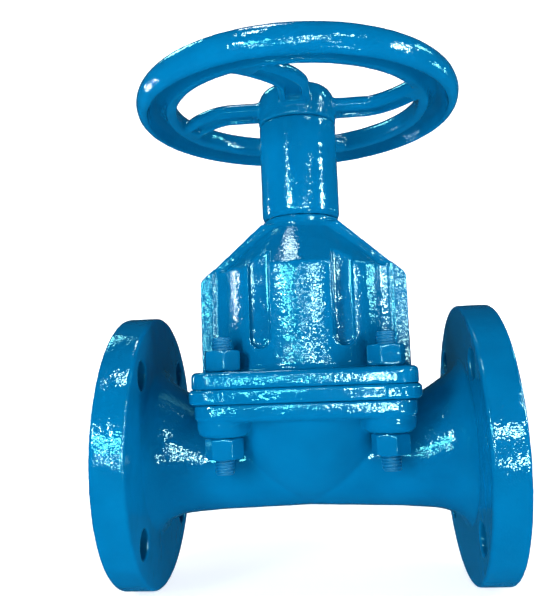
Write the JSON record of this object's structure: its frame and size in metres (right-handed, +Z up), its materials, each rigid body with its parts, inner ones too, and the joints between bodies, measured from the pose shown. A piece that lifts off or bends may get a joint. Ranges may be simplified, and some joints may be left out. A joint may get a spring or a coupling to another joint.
{
  "type": "diaphragm valve",
  "caption": "Flanged weir-type diaphragm valve in painted cast iron, with a rubber lining, a winged bonnet and a handwheel that lifts the spindle.",
  "frame": {"origin": "centre of the inlet face, on the pipe's axis", "axes": "+X along the pipe from inlet to outlet, +Z up the spindle towards the handwheel, +Y completes the right-handed set"},
  "size_m": [0.26, 0.237, 0.3581],
  "materials": {
    "enamel": "glossy blue enamel over a rough sand-cast skin",
    "painted_rubber": "rubber flange with its outer edge painted over in glossy blue",
    "rubber": "moulded, matt",
    "steel": "turned",
    "bronze": "turned bronze",
    "iron": "as cast"
  },
  "bodies": {
    "valve_body": {"body": "enamel", "body_lining": "rubber", "diaphragm_rim": "painted_rubber", "diaphragm_dome": "rubber", "bonnet": "enamel", "neck_sleeve": "enamel", "spindle_seal": "rubber", "lower_thrust_washer": "bronze", "upper_thrust_washer": "bronze", "bush_retainer": "steel", "dust_seal": "rubber", "stud_1": "enamel", "stud_2": "enamel", "stud_3": "enamel", "stud_4": "enamel", "upper_nut_1": "enamel", "upper_nut_2": "enamel", "upper_nut_3": "enamel", "upper_nut_4": "enamel", "lower_nut_1": "enamel", "lower_nut_2": "enamel", "lower_nut_3": "enamel", "lower_nut_4": "enamel"},
    "handwheel_assembly": {"handwheel": "enamel", "wheel_nut": "steel", "wheel_washer": "steel", "wheel_key": "steel", "drive_bush": "bronze"},
    "spindle_assembly": {"spindle": "steel", "compressor": "iron", "compressor_pin": "steel", "diaphragm_insert": "steel"}
  },
  "joints": [
    {"name": "handwheel_turn", "type": "hinge", "parent": "valve_body", "child": "handwheel_assembly", "pos_m": [0.13, 0, 0.25], "axis": [0, 0, 1], "range_deg": [0, 3240]},
    {"name": "spindle_lift", "type": "slide", "parent": "valve_body", "child": "spindle_assembly", "axis": [0, 0, 1], "range_m": [0, 0.036], "deforming": ["diaphragm_dome"]}
  ],
  "couplings": [
    {"joint": "spindle_lift", "follows": "handwheel_turn", "m_per_rad": 0.0006366}
  ]
}
